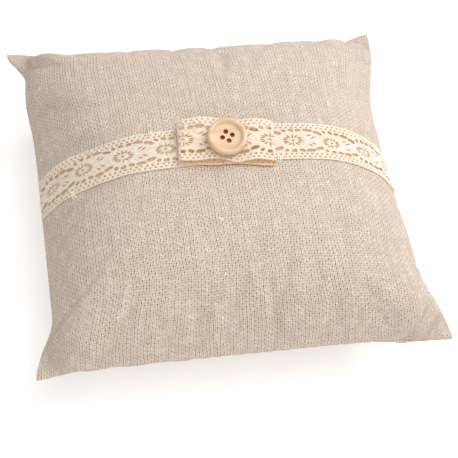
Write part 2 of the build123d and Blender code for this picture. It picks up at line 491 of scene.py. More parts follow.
@dataclass(frozen=True)
class Paper:
    """White backdrop paper, lit from below."""

    glow: float = 0.28

    def material(self) -> bpy.types.Material:
        """Almost white, with the faintest tooth."""
        s = Shader("backdrop_paper")
        tooth = s.noise(s.position(), 300.0, 2.0)
        colour = s.mix(tooth, (0.93, 0.93, 0.93, 1.0), (0.95, 0.95, 0.95, 1.0))
        return s.surface(Base_Color=colour, Roughness=0.95, Specular_IOR_Level=0.1,
                         Emission_Color=(0.985, 0.99, 1.0, 1.0), Emission_Strength=self.glow)


# --- Meshes -------------------------------------------------------------------------------------------


def write_attributes(mesh: bpy.types.Mesh, attributes: dict[str, np.ndarray]) -> None:
    """Stores values at a mesh's points.

    Args:
        mesh: the mesh.
        attributes: the values by name, a number or a vector to a point.
    """
    for key, values in attributes.items():
        kind, slot = ("FLOAT", "value") if values.ndim == 1 else ("FLOAT_VECTOR", "vector")
        layer = mesh.attributes.new(key, kind, "POINT")
        layer.data.foreach_set(slot, np.ascontiguousarray(values, np.float32).ravel())


def add_piece(name: str, vertices: np.ndarray, faces: Sequence[Sequence[int]],
              material: bpy.types.Material, attributes: dict[str, np.ndarray]) -> bpy.types.Object:
    """Makes a smooth-shaded mesh object.

    Args:
        name: the piece's name.
        vertices: points, one to a row.
        faces: vertex numbers of each face.
        material: its finish.
        attributes: values at the points, a number or a vector each.

    Returns:
        The object, linked into the scene.
    """
    mesh = bpy.data.meshes.new(name)
    mesh.from_pydata(np.asarray(vertices, float).tolist(), [], [list(map(int, face)) for face in faces])
    write_attributes(mesh, attributes)
    mesh.polygons.foreach_set("use_smooth", [True] * len(mesh.polygons))
    mesh.materials.append(material)
    mesh.update()
    piece = bpy.data.objects.new(name, mesh)
    bpy.context.scene.collection.objects.link(piece)
    return piece


def clean(piece: bpy.types.Object, weld: float) -> None:
    """Welds points that lie together, drops what has no area and turns faces outwards.

    Args:
        piece: a mesh object.
        weld: how close points are before they are one.
    """
    work = bmesh.new()
    work.from_mesh(piece.data)
    bmesh.ops.remove_doubles(work, verts=work.verts, dist=weld)
    bmesh.ops.dissolve_degenerate(work, edges=work.edges, dist=weld)
    bmesh.ops.recalc_face_normals(work, faces=work.faces)
    work.to_mesh(piece.data)
    work.free()
    piece.data.polygons.foreach_set("use_smooth", [True] * len(piece.data.polygons))


def finish_piece(piece: bpy.types.Object, slot: str, *nodes: str) -> bpy.types.Object:
    """Fixes a piece to the pillow and reports it.

    Args:
        piece: the piece.
        slot: not used.
        nodes: the CAD nodes it stands for.

    Returns:
        The piece.
    """
    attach(piece, BODY)
    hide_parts(*nodes)
    LOG.info("%s: %d faces, for %s", piece.name, len(piece.data.polygons), ", ".join(nodes))
    return piece


def grid_faces(rows: int, columns: int, offset: int = 0, flip: bool = False) -> list[tuple[int, ...]]:
    """Quads of a grid of points that are numbered row by row.

    Args:
        rows: points along the first axis.
        columns: points along the second.
        offset: number of the first point.
        flip: whether to turn the faces over.

    Returns:
        The faces.
    """
    faces = []
    for i in range(rows - 1):
        for j in range(columns - 1):
            a = offset + i * columns + j
            face = (a, a + columns, a + columns + 1, a + 1)
            faces.append(face[::-1] if flip else face)
    return faces


def tube_faces(rings: int, sides: int, capped: bool = True) -> list[tuple[int, ...]]:
    """Faces of a tube of rings of points, numbered ring by ring.

    Args:
        rings: how many rings.
        sides: points in each.
        capped: whether to close both ends.

    Returns:
        The faces.
    """
    faces = []
    for i in range(rings - 1):
        for j in range(sides):
            k = (j + 1) % sides
            faces.append((i * sides + j, i * sides + k, (i + 1) * sides + k, (i + 1) * sides + j))
    if capped:
        faces.append(tuple(range(sides - 1, -1, -1)))
        faces.append(tuple((rings - 1) * sides + j for j in range(sides)))
    return faces


def grid_normals(points: np.ndarray) -> np.ndarray:
    """Unit normals of a grid of points, by differences.

    Args:
        points: shape (rows, columns, 3).

    Returns:
        The normals, in the same shape, on the side that the two axes turn round anticlockwise.
    """
    return unit(np.cross(np.gradient(points, axis=0), np.gradient(points, axis=1)))


def strand(path: np.ndarray, radius: float, sides: int = 8, lay: float = 1.1 * MM, ply: float = 0.16,
           end: float = 0.35) -> MeshData:
    """Two-ply thread along a path, closed at both ends.

    Args:
        path: points, one to a row.
        radius: the thread's radius.
        sides: points round it.
        lay: length in which the plies turn once.
        ply: how deep the groove between the plies is, as a share of the radius.
        end: the radius at both ends, as a share of the rest.

    Returns:
        Points and faces.
    """
    steps = np.linalg.norm(np.diff(path, axis=0), axis=1)
    length = np.concatenate(([0], np.cumsum(steps)))
    tangent = unit(np.gradient(path, axis=0))
    helper = np.where(np.abs(tangent[:, 2:]) < 0.8, np.array([[0, 0, 1.0]]), np.array([[1.0, 0, 0]]))
    side = unit(np.cross(tangent, helper))
    up = np.cross(side, tangent)
    angle = np.linspace(0, 2 * math.pi, sides, endpoint=False)[None, :]
    swell = 1 + ply * np.cos(2 * (angle - 2 * math.pi * length[:, None] / lay))
    taper = np.ones(len(path))
    taper[[0, -1]] = end
    ring = radius * (swell * taper[:, None])[..., None]
    around = np.cos(angle)[..., None] * side[:, None] + np.sin(angle)[..., None] * up[:, None]
    points = path[:, None] + ring * around
    return points.reshape(-1, 3), tube_faces(len(path), sides)


def curve_through(points: np.ndarray, count: int) -> np.ndarray:
    """Smooth curve through a few points (Catmull-Rom).

    Args:
        points: the points, one to a row.
        count: how many points to give back.

    Returns:
        Points along the curve.
    """
    padded = np.vstack((2 * points[0] - points[1], points, 2 * points[-1] - points[-2]))
    place = np.linspace(0, len(points) - 1, count)
    index = np.minimum(place.astype(int), len(points) - 2)
    share = (place - index)[:, None]
    a, b, c, d = (padded[index + k] for k in range(4))
    return 0.5 * (2 * b + (c - a) * share + (2 * a - 5 * b + 4 * c - d) * share**2
                  + (3 * b - a - 3 * c + d) * share**3)


def join_strands(strands: Sequence[MeshData]) -> MeshData:
    """Puts several strands into one mesh.

    Args:
        strands: points and faces of each.

    Returns:
        Points and faces of all.
    """
    points, faces, offset = [], [], 0
    for some_points, some_faces in strands:
        points.append(some_points)
        faces.extend(tuple(offset + k for k in face) for face in some_faces)
        offset += len(some_points)
    return np.vstack(points), faces


class ClothSurface:
    """Smooth surface through a square grid of cloth points, addressed by position in the flat cut."""

    def __init__(self, points: np.ndarray, half: float) -> None:
        """Keeps the grid.

        Args:
            points: shape (n, n, 3), evenly spaced in the cut.
            half: half the side of the cut that the grid covers.
        """
        self.points = points
        self.half = half

    def at(self, across: np.ndarray, along: np.ndarray) -> np.ndarray:
        """Points of the surface, by bicubic interpolation.

        Args:
            across: cut position along X.
            along: cut position along Y.

        Returns:
            Positions, with the inputs' shape and one more axis.
        """
        count = len(self.points) - 1
        total = 0.0
        places = []
        for cut in (across, along):
            place = np.clip((cut / self.half + 1) / 2, 0, 1) * count
            index = np.minimum(place.astype(int), count - 1)
            places.append((index, self.weights(place - index)))
        (row, row_weights), (column, column_weights) = places
        for k in range(4):
            i = np.clip(row + k - 1, 0, count)
            for m in range(4):
                j = np.clip(column + m - 1, 0, count)
                total = total + (row_weights[k] * column_weights[m])[..., None] * self.points[i, j]
        return total

    @staticmethod
    def weights(t: np.ndarray) -> list[np.ndarray]:
        """Catmull-Rom weights of the four points round a share t."""
        return [0.5 * (-t**3 + 2 * t**2 - t), 0.5 * (3 * t**3 - 5 * t**2 + 2),
                0.5 * (-3 * t**3 + 4 * t**2 + t), 0.5 * (t**3 - t**2)]

    def normal_at(self, across: np.ndarray, along: np.ndarray, reach: float = 0.8 * MM) -> np.ndarray:
        """Unit normals of the surface, by differences each way.

        Args:
            across: cut position along X.
            along: cut position along Y.
            reach: how far each way.

        Returns:
            The normals.
        """
        edge = self.half - reach
        a, b = np.clip(across, -edge, edge), np.clip(along, -edge, edge)
        run = self.at(a + reach, b) - self.at(a - reach, b)
        rise = self.at(a, b + reach) - self.at(a, b - reach)
        return unit(np.cross(run, rise))

    def softened(self, rounds: int) -> "ClothSurface":
        """The surface without its small wrinkles, lifted clear of the ones it had.

        Args:
            rounds: passes of averaging with the neighbours.

        Returns:
            The new surface.
        """
        soft = blur_grid(self.points, rounds)
        normals = grid_normals(soft)
        poke = ((self.points - soft) * normals).sum(-1, keepdims=True)
        lift = blur_grid(np.maximum(poke, 0), rounds) + blur_grid(np.maximum(poke, 0), 2) * 0.5
        return ClothSurface(soft + normals * lift, self.half)


def blur_grid(values: np.ndarray, rounds: int) -> np.ndarray:
    """Averages each grid value with its four neighbours, and keeps the border's own run of values.

    Args:
        values: shape (rows, columns, k).
        rounds: passes.

    Returns:
        The averaged values.
    """
    values = values.copy()
    for _ in range(rounds):
        padded = np.pad(values, ((1, 1), (1, 1), (0, 0)), mode="reflect", reflect_type="odd")
        around = padded[2:, 1:-1] + padded[:-2, 1:-1] + padded[1:-1, 2:] + padded[1:-1, :-2]
        values = 0.5 * values + 0.125 * around
    return values


# --- Cushion ------------------------------------------------------------------------------------------


class Edge(Enum):
    """The cover's four edges: which way each one faces, along X and along Y."""

    FRONT = (0, -1)
    RIGHT = (1, 0)
    BACK = (0, 1)
    LEFT = (-1, 0)


@dataclass(frozen=True)
class SeamEdge:
    """One edge of the filled cover in plan: drawn in along its middle, flared into an ear at each end."""

    middle: float
    low_tip: float
    high_tip: float
    low_ear: float
    high_ear: float
    swell: float = 0.0
    swell_at: float = 0.66
    swell_reach: float = 0.2

    def offset(self, share: np.ndarray) -> np.ndarray:
        """Distance from the pillow's middle line to the edge.

        Args:
            share: place along the edge, from -1 to 1.

        Returns:
            The distances.
        """
        low = smooth_step((-share - 1 + self.low_ear) / self.low_ear)
        high = smooth_step((share - 1 + self.high_ear) / self.high_ear)
        swelling = self.swell * np.exp(-(((share - self.swell_at) / self.swell_reach) ** 2))
        low_flare = (self.low_tip - self.middle) * low
        high_flare = (self.high_tip - self.middle) * high
        return self.middle + swelling + low_flare + high_flare


@dataclass(frozen=True)
class Crease:
    """A soft fold in the front panel, in mm: a ridge if its height is above 0, or else a groove."""

    start: tuple[float, float]
    end: tuple[float, float]
    width: float
    height: float

    def pressed(self, points: np.ndarray, half: float) -> np.ndarray:
        """Works the fold into a panel.

        Args:
            points: the panel's grid.
            half: half the side of the cut.

        Returns:
            The changed grid.
        """
        places = np.linspace(-half, half, len(points))
        across, along = np.meshgrid(places, places, indexing="ij")
        start, run = np.array(self.start) * MM, (np.array(self.end) - np.array(self.start)) * MM
        x, y = across - start[0], along - start[1]
        share = (x * run[0] + y * run[1]) / float(np.hypot(*run)) ** 2
        nearest = np.clip(share, 0, 1)
        off = np.hypot(x - nearest * run[0], y - nearest * run[1])
        fade = np.sin(math.pi * np.clip(share * 0.8 + 0.1, 0, 1))
        rise = self.height * MM * np.exp(-((off / (self.width * MM)) ** 2)) * fade
        return points + grid_normals(points) * rise[..., None]


@dataclass
class Cushion:
    """The sewn and filled linen cover, its batting and its seam."""

    cut_half: float = 105 * MM
    cells: int = 80
    mesh_cells: int = 150
    crown: float = 28.0 * MM
    fullness: float = 2.8
    ear_reach: float = 0.36
    ease: float = 0.02
    linen_thickness: float = 0.8 * MM
    seam_gap: float = 0.06 * MM
    seam_lean: float = 0.25
    stiffness: float = 300.0
    bending: float = 0.05
    pressure: float = 4.0
    calming: int = 8
    wrinkling: float = 0.7
    unevenness: float = 0.03 * MM
    slack_corner: float = 0.08
    slack_reach: float = 0.25
    patch_round: float = 1.2 * MM
    stitch_pitch: float = 2.6 * MM
    stitch_length: float = 2.1 * MM
    stitch_inset: float = 0.35 * MM
    opening_middle: float = -32 * MM
    opening_half: float = 29 * MM
    whip_stitches: int = 15
    whip_pitch: float = 4 * MM
    batting_reach: float = 0.9
    batting_points: int = 61
    batting_gap: float = 1.2 * MM
    frames: int = 26
    draw_frames: int = 10
    scale: float = 10.0
    front_edge: SeamEdge = SeamEdge(89.6 * MM, 93.0 * MM, 93.3 * MM, 0.22, 0.45)
    back_edge: SeamEdge = SeamEdge(86.6 * MM, 92.5 * MM, 92.6 * MM, 0.34, 0.2)
    right_edge: SeamEdge = SeamEdge(87.6 * MM, 97.5 * MM, 97.5 * MM, 0.5, 0.62, 1.8 * MM, -0.42)
    left_edge: SeamEdge = SeamEdge(86.8 * MM, 97.0 * MM, 97.0 * MM, 0.32, 0.2, 2.4 * MM)
    creases: tuple[Crease, ...] = (
        Crease((-103, 18), (-50, 15), 4.5, -1.5),
        Crease((-100, 29), (-58, 24), 6.0, 1.2),
        Crease((12, -104), (10, -68), 2.4, -1.1),
        Crease((17, -104), (15, -70), 3.0, 0.9),
        Crease((-30, -104), (-38, -84), 3.0, -0.7),
        Crease((70, -104), (102, -62), 3.4, -2.4),
        Crease((-98, -70), (-70, -98), 3.2, -0.9),
    )
    seam_height: float = field(init=False)
    front: ClothSurface = field(init=False)
    back: ClothSurface = field(init=False)

    def __post_init__(self) -> None:
        """Takes the seam line's height from the CAD panels and lays out the cut."""
        self.seam_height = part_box("cover_front")[0].z
        shares = np.linspace(-1, 1, self.cells + 1)
        self.across, self.along = np.meshgrid(shares, shares, indexing="ij")

    def section(self) -> tuple[np.ndarray, np.ndarray, np.ndarray]:
        """The filled section from the middle to an edge, with even steps along the cloth.

        Returns:
            Shares of the way along the cloth, and there the shares of the half width and of the crown.
        """
        turn = np.linspace(0, math.pi / 2, 400)
        out, up = np.sin(turn) ** (2 / self.fullness), np.cos(turn) ** (2 / self.fullness)
        steps = np.hypot(np.diff(out) * self.left_edge.middle, np.diff(up) * self.crown)
        length = np.concatenate(([0], np.cumsum(steps)))
        return length / length[-1], out, up

    def ear_distance(self) -> np.ndarray:
        """Share of the half side from the nearest corner."""
        return np.hypot(1 - np.abs(self.across), 1 - np.abs(self.along))

    def drafted(self) -> tuple[np.ndarray, np.ndarray, np.ndarray]:
        """X, Y and rise above the seam of each point of the cut, before the cloth settles."""
        length, out, up = self.section()
        body = smooth_step(self.ear_distance() / self.ear_reach)
        x_share, y_share = ((1 - body) * np.abs(place) + body * np.interp(np.abs(place), length, out)
                            for place in (self.across, self.along))
        x_share, y_share = x_share * np.sign(self.across), y_share * np.sign(self.along)
        right, left = self.right_edge.offset(y_share), self.left_edge.offset(y_share)
        back, front = self.back_edge.offset(x_share), self.front_edge.offset(x_share)
        x = x_share * np.where(x_share < 0, left, right)
        y = y_share * np.where(y_share < 0, front, back)
        rise = np.interp(np.abs(self.across), length, up) * np.interp(np.abs(self.along), length, up)
        return x, y, rise * body * self.crown

    def fill(self) -> None:
        """Sews the two panels together and fills them."""
        x, y, rise = self.drafted()
        seam = np.full_like(x, self.seam_height)
        front, back = (np.stack((x, y, seam + side * rise), -1) for side in (1, -1))
        front, back = self.simulate(front, back)
        front, back = self.refined(front), self.refined(back)
        for crease in self.creases:
            front = crease.pressed(front, self.cut_half)
        back = self.rest_on_table(back)
        self.front, self.back = ClothSurface(front, self.cut_half), ClothSurface(back, self.cut_half)
        LOG.info("cushion filled, crown at %.1f mm", front[..., 2].max() / MM)

    def simulate(self, front: np.ndarray, back: np.ndarray) -> tuple[np.ndarray, np.ndarray]:
        """Lets pressure fill the cover, from flat cut to full cushion.

        Args:
            front: starting points of the front panel.
            back: starting points of the back panel, with the same border.

        Returns:
            The filled panels.
        """
        count = self.cells + 1
        border = np.zeros((count, count), bool)
        border[[0, -1], :] = border[:, [0, -1]] = True
        front_ids = np.arange(count * count).reshape(count, count)
        back_ids = front_ids.copy()
        back_ids[~border] = count * count + np.arange((~border).sum())
        sewn = np.vstack((front.reshape(-1, 3), back[~border]))
        loose = sewn * (1 + self.ease, 1 + self.ease, 1)
        loose[:, 2] += np.random.default_rng(7).normal(0, self.unevenness, len(sewn))
        faces = grid_faces(count, count)
        back_numbers = back_ids.ravel().tolist()
        faces += [tuple(back_numbers[k] for k in face) for face in grid_faces(count, count, flip=True)]
        bag = add_piece("sewn_bag", loose * self.scale, faces, Shader("bag").material, {})
        bag.shape_key_add(name="loose")
        key = bag.shape_key_add(name="sewn")
        key.data.foreach_set("co", (sewn * self.scale).astype(np.float32).ravel())
        pins = bag.vertex_groups.new(name="seam")
        pins.add(front_ids[border].tolist(), 1.0, "REPLACE")
        filled = bag.vertex_groups.new(name="filled")
        weights = smooth_step((self.ear_distance() - self.slack_corner) / self.slack_reach)
        for ids in (front_ids, back_ids):
            for number, weight in zip(ids.ravel().tolist(), weights.ravel().tolist()):
                filled.add([number], weight, "REPLACE")
        for share, step in ((0.0, 1), (1.0, self.draw_frames)):
            key.value = share
            key.keyframe_insert("value", frame=step)
        self.add_cloth(bag)
        scene = bpy.context.scene
        for step in range(1, self.frames + 1):
            scene.frame_set(step)
        settled = bag.evaluated_get(bpy.context.evaluated_depsgraph_get()).data
        points = np.zeros(len(sewn) * 3, np.float32)
        settled.vertices.foreach_get("co", points)
        points = points.reshape(-1, 3).astype(float) / self.scale
        bpy.data.objects.remove(bag)
        return points[front_ids], points[back_ids]

    def add_cloth(self, bag: bpy.types.Object) -> None:
        """Gives the bag its cloth and its filling pressure.

        Args:
            bag: the sewn panels.
        """
        cloth = bag.modifiers.new("Cloth", "CLOTH")
        values = {"quality": 8, "mass": 0.002, "tension_stiffness": self.stiffness,
                  "compression_stiffness": self.stiffness, "shear_stiffness": 0.15 * self.stiffness,
                  "bending_stiffness": self.bending, "tension_damping": 5,
                  "compression_damping": 5, "shear_damping": 2, "bending_damping": 0.5, "air_damping": 2,
                  "use_pressure": True, "uniform_pressure_force": self.pressure,
                  "vertex_group_pressure": "filled", "vertex_group_mass": "seam", "pin_stiffness": 1}
        for name, value in values.items():
            setattr(cloth.settings, name, value)
        cloth.settings.effector_weights.gravity = 0
        cloth.collision_settings.use_collision = False
        cloth.point_cache.frame_start = 1
        cloth.point_cache.frame_end = self.frames
        bpy.context.scene.frame_start = 1
        bpy.context.scene.frame_end = self.frames

    def refined(self, points: np.ndarray) -> np.ndarray:
        """A panel's points on a grid twice as fine, its wrinkles calmed.

        Args:
            points: the panel's points, row by row.

        Returns:
            The finer grid.
        """
        calm = blur_grid(points, self.calming)
        points = calm + (points - calm) * self.wrinkling
        shares = np.linspace(-self.cut_half, self.cut_half, 2 * self.cells + 1)
        return ClothSurface(points, self.cut_half).at(*np.meshgrid(shares, shares, indexing="ij"))

    def rest_on_table(self, back: np.ndarray) -> np.ndarray:
        """Flattens the belly where it meets the table, with a soft turn at the patch's rim.

        Args:
            back: the back panel's points.

        Returns:
            The points, none of them below the linen's thickness.
        """
        lowest = self.linen_thickness + 1.5 * self.seam_gap
        level = back[..., 2] - lowest
        back = back.copy()
        back[..., 2] = lowest + 0.5 * (level + np.sqrt(level**2 + self.patch_round**2))
        return back

    def panel(self, name: str, surface: ClothSurface, side: int, material: bpy.types.Material,
              ) -> bpy.types.Object:
        """One linen panel as a closed shell whose edge rounds over into the seam.

        Args:
            name: the piece's name.
            surface: the filled panel's inner face.
            side: 1 for the front panel, -1 for the back.
            material: the linen.

        Returns:
            The piece.
        """
        shares = np.linspace(-1, 1, self.mesh_cells + 1)
        across, along = np.meshgrid(shares, shares, indexing="ij")
        inner = surface.at(across * self.cut_half, along * self.cut_half)
        normals = blur_grid(grid_normals(inner) * side, 1)
        border = np.maximum(np.abs(across), np.abs(along)) > 1 - 1e-9
        level = side * normals[..., 2]
        normals[..., 2] = np.where(border, side * np.maximum(level, self.seam_lean), normals[..., 2])
        normals = unit(normals)
        inner = inner + normals * self.seam_gap
        outer = inner + normals * self.linen_thickness
        flat = np.stack((across, along, np.full_like(across, side)), -1) * self.cut_half
        size = self.mesh_cells + 1
        ids = np.arange(size * size).reshape(size, size)
        loop = np.concatenate((ids[:-1, 0], ids[-1, :-1], ids[:0:-1, -1], ids[0, :0:-1]))
        rim_inner, rim_outer = inner.reshape(-1, 3)[loop], outer.reshape(-1, 3)[loop]
        run = unit((np.roll(rim_inner, 1, 0) - np.roll(rim_inner, -1, 0)) * LEVEL)
        beyond = run[:, [1, 0, 2]] * (-1, 1, 0)
        rings = [rim_outer + (rim_inner - rim_outer) * share + beyond * out * self.linen_thickness
                 for share, out in ((0.2, 0.22), (0.5, 0.32), (0.8, 0.22))]
        faces = grid_faces(size, size, 0, side < 0) + grid_faces(size, size, size * size, side > 0)
        numbers = [loop, *(2 * size * size + k * len(loop) + np.arange(len(loop)) for k in range(3)),
                   loop + size * size]
        for first, second in zip(numbers, numbers[1:]):
            ahead_first, ahead_second = np.roll(first, -1), np.roll(second, -1)
            faces += list(zip(first, ahead_first, ahead_second, second))
        vertices = np.vstack((outer.reshape(-1, 3), inner.reshape(-1, 3), *rings))
        cloth = np.vstack((flat.reshape(-1, 3), flat.reshape(-1, 3), *[flat.reshape(-1, 3)[loop]] * 3))
        piece = add_piece(name, vertices, faces, material, {"cloth": cloth})
        clean(piece, 0.01 * MM)
        return piece

    def batting(self, material: bpy.types.Material) -> bpy.types.Object:
        """The fibre filling, a closed form inside both panels.

        Args:
            material: the batting's finish.

        Returns:
            The piece.
        """
        half = self.batting_reach * self.cut_half
        places = np.linspace(-half, half, self.batting_points)
        across, along = np.meshgrid(places, places, indexing="ij")
        sides = []
        rim = smooth_step((1 - np.maximum(np.abs(across), np.abs(along)) / half) / 0.12)
        middle = 0.5 * (self.front.at(across, along) + self.back.at(across, along))
        for surface, side in ((self.front, 1), (self.back, -1)):
            skin = surface.at(across, along)
            normals = grid_normals(skin) * side
            inside = skin - normals * self.batting_gap
            sides.append(middle + (inside - middle) * rim[..., None])
        size = self.batting_points
        vertices = np.vstack([grid.reshape(-1, 3) for grid in sides])
        faces = grid_faces(size, size) + grid_faces(size, size, size * size, True)
        piece = add_piece("batting", vertices, faces, material, {})
        clean(piece, 0.05 * MM)
        return piece

    def seam_line(self, edge: Edge, first: float, last: float, count: int) -> np.ndarray:
        """Points along one edge of the seam.

        Args:
            edge: which edge.
            first: cut position of the first point.
            last: cut position of the last point.
            count: how many points.

        Returns:
            The points.
        """
        run, fixed = np.linspace(first, last, count), np.full(count, self.cut_half)
        across, along = (fixed * facing if facing else run for facing in edge.value)
        return self.front.at(across, along)

    def seam_stitches(self, material: bpy.types.Material) -> bpy.types.Object:
        """Machine thread down in the seam, one short stitch after another, but not at the opening.

        Args:
            material: the thread.

        Returns:
            The piece.
        """
        strands = []
        middle = self.front.at(np.zeros(1), np.zeros(1))[0] * LEVEL
        for edge in Edge:
            for number in range(int(2 * self.cut_half / self.stitch_pitch) - 2):
                start = -self.cut_half + (number + 1) * self.stitch_pitch
                if edge is Edge.FRONT and abs(start - self.opening_middle) < self.opening_half:
                    continue
                path = self.seam_line(edge, start, start + self.stitch_length, 5)
                inward = unit((middle - path) * LEVEL)
                strands.append(strand(path + inward * self.stitch_inset, 0.2 * MM, 6))
        vertices, faces = join_strands(strands)
        return add_piece("seam_stitches", vertices, faces, material, {})

    def hand_stitches(self, material: bpy.types.Material) -> bpy.types.Object:
        """Slanted whip stitches that close the filling opening in the front edge.

        Args:
            material: the thread.

        Returns:
            The piece.
        """
        strands = []
        first = self.opening_middle - self.whip_pitch * (self.whip_stitches - 1) / 2
        for number in range(self.whip_stitches):
            place = first + number * self.whip_pitch
            low, high = self.seam_line(Edge.FRONT, place - 0.6 * MM, place + 0.6 * MM, 2)
            out = np.array([0, -0.25 * MM, 0])
            path = np.stack((low + (0, 0.5 * MM, -1.5 * MM), low + out + (0, 0, -0.8 * MM),
                             0.5 * (low + high) + 1.6 * out, high + out + (0, 0, 0.8 * MM),
                             high + (0, 0.5 * MM, 1.5 * MM)))
            strands.append(strand(curve_through(path, 13), 0.24 * MM, 8))
        vertices, faces = join_strands(strands)
        return add_piece("hand_stitches", vertices, faces, material, {})

    def build(self) -> None:
        """Builds and dresses every piece of the cushion."""
        self.fill()
        linen = Linen().material()
        thread = Thread("linen_thread", rgb(214, 196, 170)).material()
        front = self.panel("linen_front", self.front, 1, linen)
        finish_piece(front, "linen", "cover_front")
        finish_piece(self.panel("linen_back", self.back, -1, linen), "linen", "cover_back")
        filling = finish_piece(self.batting(Batting().material()), "filling", "filling")
        finish_piece(self.seam_stitches(thread), "linen_thread", "seam_thread")
        finish_piece(self.hand_stitches(thread), "linen_thread", "closing_stitches")


# --- Lace ---------------------------------------------------------------------------------------------


@dataclass(frozen=True)
class LaceHole:
    """One kind of hole in the lace, placed once in each repeat, above and below the middle line."""

    along: float
    across: float
    half_length: float
    half_height: float
    slant: float = 0.0


